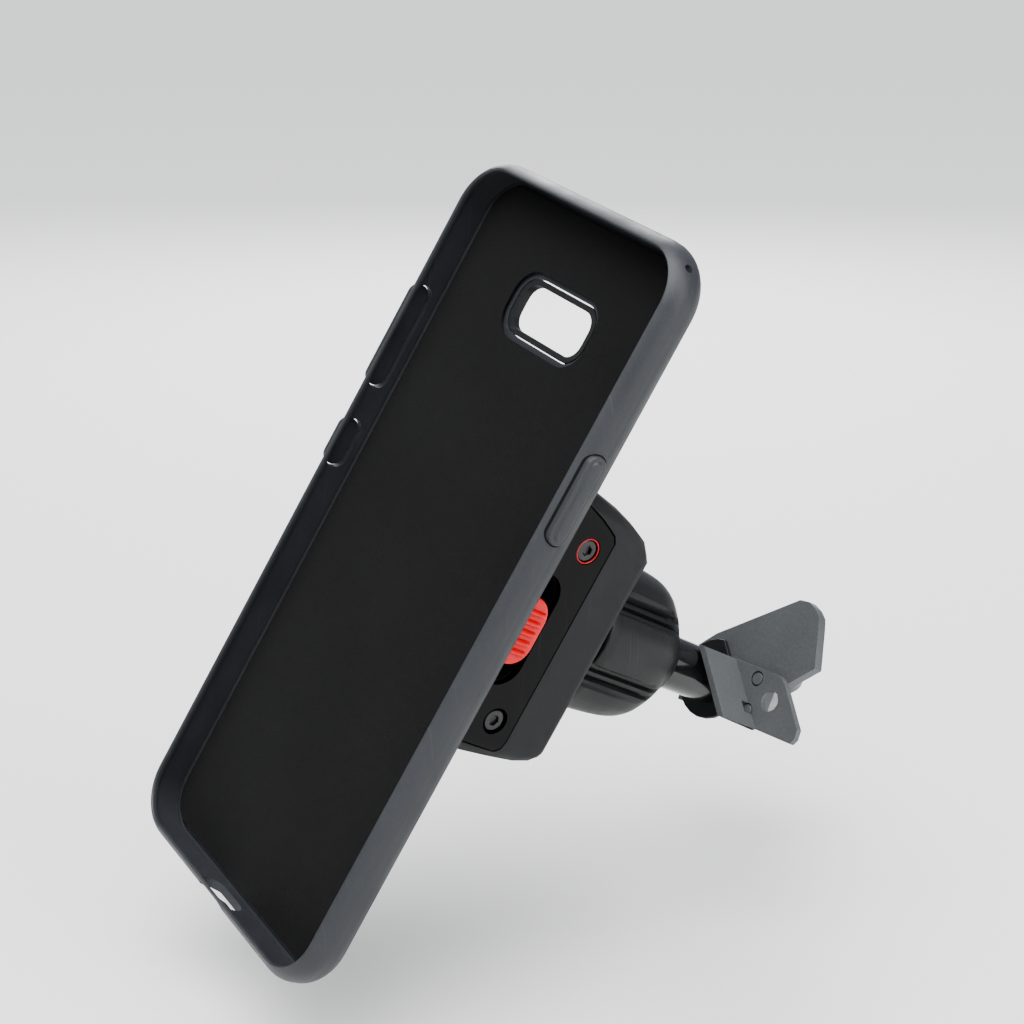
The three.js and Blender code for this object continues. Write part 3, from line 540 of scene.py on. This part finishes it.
def socket_screw(name, head_r, head_z0, head_z1, shank_r, shank_end, recess_r):
    """A screw along +Z whose head ends at head_z1 and whose shank runs down to shank_end."""
    depth = 0.6 * (head_z1 - head_z0)
    edge = min(0.35, head_r * 0.15)
    mesh = bmesh.new()
    around = 48
    profile = [(0, shank_end), (shank_r * 0.7, shank_end), (shank_r, shank_end + 0.5), (shank_r, head_z0),
               (head_r - edge * 0.4, head_z0), (head_r, head_z0 + edge * 0.4), (head_r, head_z1 - edge),
               (head_r - edge * 0.3, head_z1 - edge * 0.3), (head_r - edge, head_z1)]
    hexagon = [(recess_r * 1.12, head_z1), (recess_r, head_z1 - 0.12), (recess_r, head_z1 - depth),
               (0, head_z1 - depth * 1.25)]
    rings = []
    for k, (radius, height) in enumerate(profile + hexagon):
        six = k >= len(profile)
        if radius == 0:
            rings.append([mesh.verts.new((0, 0, height))] * around)
            continue
        ring = []
        for i in range(around):
            a = 2 * math.pi * i / around
            reach = radius
            if six:
                reach *= math.cos(math.pi / 6) / math.cos((a % (math.pi / 3)) - math.pi / 6)
            ring.append(mesh.verts.new((reach * math.cos(a), reach * math.sin(a), height)))
        rings.append(ring)
    for low, high in zip(rings, rings[1:]):
        for i in range(around):
            j = (i + 1) % around
            corners = list(dict.fromkeys([low[i], low[j], high[j], high[i]]))
            if len(corners) > 2:
                mesh.faces.new(corners)
    bmesh.ops.recalc_face_normals(mesh, faces=mesh.faces)
    data = bpy.data.meshes.new(name)
    mesh.to_mesh(data)
    mesh.free()
    return bpy.data.objects.new(name, data)


quarter = [(15 * math.cos(a), 15 * math.sin(a), 0) for a in (math.pi / 4 + i * math.pi / 2 for i in range(4))]
piece_from(repeat(socket_screw("screw", 3.0, 73.2, 75.2, 1.6, 64.4, 1.5), quarter, zinc, step=0.5),
           "collet_screws", head_axes, [zinc], "cradle",
           [f"collet_screw_{i}" for i in range(1, 5)])
piece_from(repeat(socket_screw("screw", 2.4, 92.5, 93.4, 1.25, 79.1, 1.3),
                  [(-23.6, -22.6, 0), (-23.6, 23.6, 0)], zinc, step=0.7),
           "rail_screws", head_axes, [zinc], "cradle",
           ["rail_screw_1", "rail_screw_2"])
piece_from(repeat(socket_screw("screw", 2.5, 95.56, 95.9, 1.0, 91.9, 1.2),
                  [(-10, -15, 0), (10, -15, 0), (10, 15, 0), (-10, 15, 0)], zinc, step=0.4),
           "plate_screws", head_axes, [zinc], "phone_case",
           [f"plate_screw_{i}" for i in range(1, 5)])
sideways = head_axes @ Matrix.Rotation(math.radians(90), 4, "Y")
blackened = finish("blackened_steel", (0.07, 0.07, 0.074), {
    "Grain per metre": 5200.0, "Grain depth": 0.000012, "Roughness": 0.28, "Polish": 0.2,
    "Mottle": 0.3, "Scratches": 0.4, "Dust": 0.05}, metal=True)
piece_from(repeat(socket_screw("screw", 2.3, 25.5, 26.7, 1.1, 21.9, 1.15), [(-81, -18.6, 0), (-81, 20.5, 0)],
                  blackened, step=0.6), "panel_screws", sideways, [blackened], "cradle",
           ["panel_screw_lower", "panel_screw_upper"])

# ---- red ring ----
# A thin red ring sits round the head of the upper panel screw.
ring_red = finish("red_screw_ring_finish", (0.42, 0.012, 0.01), {
    "Grain per metre": 3800.0, "Grain depth": 0.00001, "Roughness": 0.4, "Dust": 0.15})
around_screw = sideways @ Matrix.Translation((-81, 20.5, 0))
ring_section = arc(2.6, 26.75, 0.2, 180, 540, 12)[:-1] + [(2.4, 26.75)]
piece_from(lathed(ring_section, 64), "red_seal_ring", around_screw, [ring_red], "cradle",
           ["seal_ring"])

# ---- release slider ----
# The quick release is a red moulded slider with a row of thumb ribs. Its stem goes through the
# slot in the side panel to push the latch back against a coil spring.
SLIDER_Y = 0.8
SLIDER_Z = 86.8


def pill_stack(length, width, steps, y, z, side=1, around=20):
    """A stadium-ended button that stands along X; steps are (x, how far the outline is drawn in)."""
    mesh = bmesh.new()
    rings = []
    for x, inset in steps:
        r = width / 2 - inset
        straight = (length - width) / 2
        ring = []
        for end in (1, -1):
            for i in range(around + 1):
                a = math.pi * i / around + (0 if end > 0 else math.pi)
                along = y + end * straight + r * math.sin(a)
                ring.append(mesh.verts.new((side * x, along, z + r * math.cos(a))))
        rings.append(ring)
    count = len(rings[0])
    for low, high in zip(rings, rings[1:]):
        for i in range(count):
            j = (i + 1) % count
            mesh.faces.new((low[i], low[j], high[j], high[i]))
    mesh.faces.new(rings[0])
    mesh.faces.new(rings[-1])
    return mesh


def rib_bar():
    """One thumb rib: a low bar with a rounded crest, tapered at both ends."""
    mesh = bmesh.new()
    rows = []
    for i in range(17):
        along = -3.4 + 6.8 * i / 16
        height = 1.2 * math.sqrt(max(0, 1 - abs(along / 3.4) ** 6)) + 0.05
        section = [math.pi * k / 8 for k in range(9)]
        rows.append([mesh.verts.new((height * math.sin(a) - 0.1, 0.7 * math.cos(a), along)) for a in section])
    for low, high in zip(rows, rows[1:]):
        for k in range(8):
            mesh.faces.new((low[k], low[k + 1], high[k + 1], high[k]))
        mesh.faces.new((low[8], low[0], high[0], high[8]))
    mesh.faces.new(rows[0])
    mesh.faces.new(rows[-1])
    bmesh.ops.recalc_face_normals(mesh, faces=mesh.faces)
    data = bpy.data.meshes.new("rib")
    mesh.to_mesh(data)
    mesh.free()
    return bpy.data.objects.new("rib", data)


signal_red = finish("signal_red", (0.66, 0.011, 0.012), {
    "Grain per metre": 4200.0, "Grain depth": 0.000018, "Roughness": 0.36, "Polish": 0.16,
    "Mottle": 0.12, "Scratches": 0.2, "Dust": 0.05})
slider_steps = [(26.0, 0.3), (26.8, 0.05), (27.2, 0), (27.4, 0.1), (27.55, 0.35), (27.6, 0.8)]
slider_mesh = pill_stack(15, 9.2, slider_steps, SLIDER_Y, SLIDER_Z)
ribs = repeat(rib_bar(), [(27.55, SLIDER_Y + (i - 2) * 2.2, SLIDER_Z) for i in range(5)], signal_red)
rib_data = bpy.data.meshes.new("ribs")
ribs.to_mesh(rib_data)
slider_mesh.from_mesh(rib_data)
stalk = bmesh.new()
for low, high in (((20.2, SLIDER_Y - 4.4, SLIDER_Z - 4.3), (26.1, SLIDER_Y + 4.4, SLIDER_Z + 4.3)),
                  ((9, SLIDER_Y - 4, SLIDER_Z - 2), (20.3, SLIDER_Y + 4, SLIDER_Z + 1.9))):
    block = bmesh.ops.create_cube(stalk, size=1)["verts"]
    for vert in block:
        vert.co = Vector([low[k] + (high[k] - low[k]) * (vert.co[k] + 0.5) for k in range(3)])
bmesh.ops.bevel(stalk, geom=stalk.edges[:], offset=0.5, segments=2, affect="EDGES")
stalk_data = bpy.data.meshes.new("stalk")
stalk.to_mesh(stalk_data)
slider_mesh.from_mesh(stalk_data)
piece_from(slider_mesh, "ribbed_release_slider", head_axes, [signal_red], "slider",
           ["release_slider"], smooth=40)

# ---- latch ----
# Behind the rail a spring-loaded tongue with a ramp catches the case's plate. Both springs are
# plain coils of bright steel wire.
softened("latch_tongue", "latch_tongue_moulding", 0.0003, [cradle_skin, cradle_rim], "latch")
coils = bpy.data.node_groups.new("wire_coil", "GeometryNodeTree")
coil_ports = {}
for label, kind in (("Turns", "Float"), ("Coil radius", "Float"), ("Length", "Float"),
                    ("Wire radius", "Float"), ("Finish", "Material")):
    socket = coils.interface.new_socket(name=label, in_out="INPUT", socket_type="NodeSocket" + kind)
    coil_ports[label] = socket.identifier
coils.interface.new_socket(name="Spring", in_out="OUTPUT", socket_type="NodeSocketGeometry")
coil_in, coil_out = coils.nodes.new("NodeGroupInput"), coils.nodes.new("NodeGroupOutput")
helix = put(coils, "GeometryNodeCurveSpiral", {
    "Resolution": 28, "Rotations": coil_in.outputs["Turns"], "Start Radius": coil_in.outputs["Coil radius"],
    "End Radius": coil_in.outputs["Coil radius"], "Height": coil_in.outputs["Length"]})
wire = put(coils, "GeometryNodeCurvePrimitiveCircle", {
    "Resolution": 12, "Radius": coil_in.outputs["Wire radius"]})
drawn = put(coils, "GeometryNodeCurveToMesh", {
    "Curve": helix.outputs[0], "Profile Curve": wire.outputs[0], "Fill Caps": True})
plain = put(coils, "GeometryNodeRealizeInstances", {0: drawn.outputs[0]})
plated = put(coils, "GeometryNodeSetMaterial", {
    "Geometry": plain.outputs[0], "Material": coil_in.outputs["Finish"]})
coils.links.new(plated.outputs[0], coil_out.inputs[0])
spring_wire = finish("spring_wire", (0.5, 0.5, 0.49), {
    "Grain per metre": 6000.0, "Grain depth": 0.000005, "Roughness": 0.24, "Polish": 0.1,
    "Dust": 0.05}, metal=True)


def spring(name, turns, radius, length, axes, node):
    host = bpy.data.objects.new(name, bpy.data.meshes.new(name))
    bpy.context.collection.objects.link(host)
    winder = host.modifiers.new("wound", "NODES")
    winder.node_group = coils
    for label, value in (("Turns", float(turns)), ("Coil radius", radius), ("Length", length),
                         ("Wire radius", 0.45), ("Finish", spring_wire)):
        winder[coil_ports[label]] = value
    bpy.context.view_layer.update()
    made = bpy.data.meshes.new_from_object(host.evaluated_get(bpy.context.evaluated_depsgraph_get()))
    mesh = bmesh.new()
    mesh.from_mesh(made)
    host.modifiers.remove(winder)
    bpy.data.objects.remove(host)
    return piece_from(mesh, name, axes, [spring_wire], "cradle", [node])


spring("latch_coil", 4, 3.2, 8.0, head_axes @ Matrix.Translation((0, -12, 73.9)), "latch_spring")
spring("slider_coil", 5, 1.7, 12.4, head_axes @ Matrix.Translation((13, SLIDER_Y + 5, SLIDER_Z))
       @ Matrix.Rotation(math.radians(-90), 4, "X"), "slider_spring")

# ---- case ----
# The phone case is two mouldings in matt dark grey: a soft bumper with a fat rounded lip all round
# the phone, and a hard back tray. They meet in a thin parting line near the back edge.
CASE_W, CASE_H, CASE_R = 76.7, 163.7, 12
BACK_Z, EDGE = 94.1, 4.9
BACK_CURVE_Z, LIP_CURVE_Z = 99.0, 99.8


def frame_ring(mesh, inset, z, corner=18):
    """A rounded rectangle's loop of points, drawn in from the case's outline by inset."""
    r = max(0.6, CASE_R - inset)
    a, b = CASE_W / 2 - inset - r, CASE_H / 2 - inset - r
    ring = []
    for sx, sy, start in ((1, 1, 0), (-1, 1, 90), (-1, -1, 180), (1, -1, 270)):
        for i in range(corner + 1):
            t = math.radians(start + 90 * i / corner)
            ring.append(mesh.verts.new((sx * a + r * math.cos(t), sy * b + r * math.sin(t), z)))
    return ring


def swept(loops, closed):
    mesh = bmesh.new()
    rings = [frame_ring(mesh, inset, z) for inset, z in loops]
    pairs = list(zip(rings, rings[1:] + ([rings[0]] if closed else [])))
    count = len(rings[0])
    for low, high in pairs:
        for i in range(count):
            j = (i + 1) % count
            mesh.faces.new((low[i], low[j], high[j], high[i]))
    if not closed:
        mesh.faces.new(rings[0])
        mesh.faces.new(rings[-1])
    bmesh.ops.recalc_face_normals(mesh, faces=mesh.faces)
    return mesh


def cut_out(mesh, cutters):
    """Takes shaped plugs out of a moulding and returns what is left."""
    data = bpy.data.meshes.new("blank")
    mesh.to_mesh(data)
    blank = bpy.data.objects.new("blank", data)
    bpy.context.collection.objects.link(blank)
    tools = []
    for cutter in cutters:
        bmesh.ops.recalc_face_normals(cutter, faces=cutter.faces)
        tool_data = bpy.data.meshes.new("plug")
        cutter.to_mesh(tool_data)
        tool = bpy.data.objects.new("plug", tool_data)
        bpy.context.collection.objects.link(tool)
        take = blank.modifiers.new("take", "BOOLEAN")
        take.operation, take.object, take.solver = "DIFFERENCE", tool, "EXACT"
        tools.append(tool)
    bpy.context.view_layer.update()
    made = bpy.data.meshes.new_from_object(blank.evaluated_get(bpy.context.evaluated_depsgraph_get()))
    left = bmesh.new()
    left.from_mesh(made)
    for thing in [blank, *tools]:
        bpy.data.objects.remove(thing)
    return left


def outer(z, middle):
    """How far the rounded side is drawn in at a height, from where its curve starts."""
    return EDGE - math.sqrt(max(0, EDGE ** 2 - (z - middle) ** 2))


KEY_Z = 100.5
side_keys = {"power_key": (30.2, 19, 1), "volume_key": (38, 24, -1), "assist_key": (12, 11, -1)}
case_skin = finish("soft_grey_case", (0.030, 0.032, 0.037), {
    "Grain per metre": 3600.0, "Grain depth": 0.00002, "Roughness": 0.5, "Polish": 0.12,
    "Mottle": 0.12, "Scratches": 0.18, "Dust": 0.1})
lip = [(outer(z, BACK_CURVE_Z), z) for z in (96.3, 96.6, 97.0, 97.6, 98.3)]
shoulder = [math.radians(a) for a in range(-9, 56, 4)]
lip += [(EDGE - EDGE * math.cos(t), LIP_CURVE_Z + EDGE * math.sin(t)) for t in shoulder]
lip += [(2.3, 103.93), (2.5, 103.85), (2.64, 103.65), (2.7, 103.35), (2.7, 102.75), (1.9, 102.7), (1.9, 96.3)]
slots = [pill_stack(length + 0.6, 5.2, [(34, 0), (45, 0)], y, KEY_Z, side)
         for y, length, side in side_keys.values()]
port = lathed([(0, -6), (3.1, -6), (3.1, 6), (0, 6)], 48)
for vert in port.verts:
    vert.co.x += math.copysign(3.4, vert.co.x) if abs(vert.co.x) > 1e-6 else 0
port.transform(Matrix.Translation((0, -CASE_H / 2 + 3, KEY_Z)) @ Matrix.Rotation(math.radians(90), 4, "X"))
lanyard = lathed([(0, -12), (0.9, -12), (0.9, 12), (0, 12)], 32)
lanyard.transform(Matrix.Translation((36.2, 79.6, KEY_Z)) @ Matrix.Rotation(math.radians(45), 4, "Z")
                  @ Matrix.Rotation(math.radians(90), 4, "Y"))
piece_from(cut_out(swept(lip, True), slots + [port, lanyard]), "case_bumper_moulding", head_axes, [case_skin],
           "phone_case", ["case_bumper"], smooth=40)

tray = [(4.9, BACK_Z), (4.0, BACK_Z + 0.08)]
tray += [(outer(z, BACK_CURVE_Z), z) for z in (94.35, 94.7, 95.1, 95.5, 95.8)]
tray += [(1.1, 96.0), (2.7, 96.0), (2.7, 95.5)]
window = bmesh.new()
loop = []
for sx, sy, start in ((1, 1, 0), (-1, 1, 90), (-1, -1, 180), (1, -1, 270)):
    for i in range(11):
        t = math.radians(start + 9 * i)
        loop.append((sx * 8.5 + 5 * math.cos(t), 57 + sy * 1.5 + 5 * math.sin(t)))
low_ring = [window.verts.new((x, y, 80)) for x, y in loop]
high_ring = [window.verts.new((x, y, 110)) for x, y in loop]
for i in range(len(loop)):
    j = (i + 1) % len(loop)
    window.faces.new((low_ring[i], low_ring[j], high_ring[j], high_ring[i]))
window.faces.new(low_ring)
window.faces.new(high_ring)
piece_from(cut_out(swept(tray, False), [window]), "case_back_moulding", head_axes, [case_skin], "phone_case",
           ["case_back"], smooth=40)

# ---- keys of the case ----
# Separate pill-shaped keys stand in slots in the bumper's sides: a wide base with a raised bar on
# it, in the same soft grey as the bumper.
for node, (y, length, side) in side_keys.items():
    profile = [(37.6, 0), (38.6, 0), (38.75, 0.06), (38.86, 0.22), (38.9, 0.5), (38.9, 0.85), (39.0, 1.0),
               (39.2, 1.08), (39.34, 1.25), (39.4, 1.55)]
    piece_from(pill_stack(length, 4.6, profile, y, KEY_Z, side), f"{node}_pill", head_axes, [case_skin], node,
               [node], smooth=50)

# ---- lining and camera bezel ----
# The tray is lined with a short black nap that spares the phone's back; the camera window has a
# thin moulded bezel.
nap = finish("black_nap", (0.004, 0.004, 0.0045), {
    "Grain per metre": 5200.0, "Grain depth": 0.00012, "Roughness": 0.92, "Polish": 0.05,
    "Mottle": 0.5, "Scratches": 0.0, "Dust": 0.03}, Sheen_Weight=0.06, Sheen_Roughness=0.5,
    Specular_IOR_Level=0.2)
softened("case_liner", "nap_lining", 0.00012, [nap], "phone_case", turns=2)
softened("camera_bezel", "camera_window_bezel", 0.0002, [cap_skin, cap_rim], "phone_case")

# ---- adapter plate ----
# The sliding half of the quick release, screwed behind the case: a pad and a wider flange that
# runs in the rail's channel, with a pocket for the latch tongue.
softened("adapter_plate", "adapter_slide", 0.0004, [cradle_skin, cradle_rim], "phone_case")
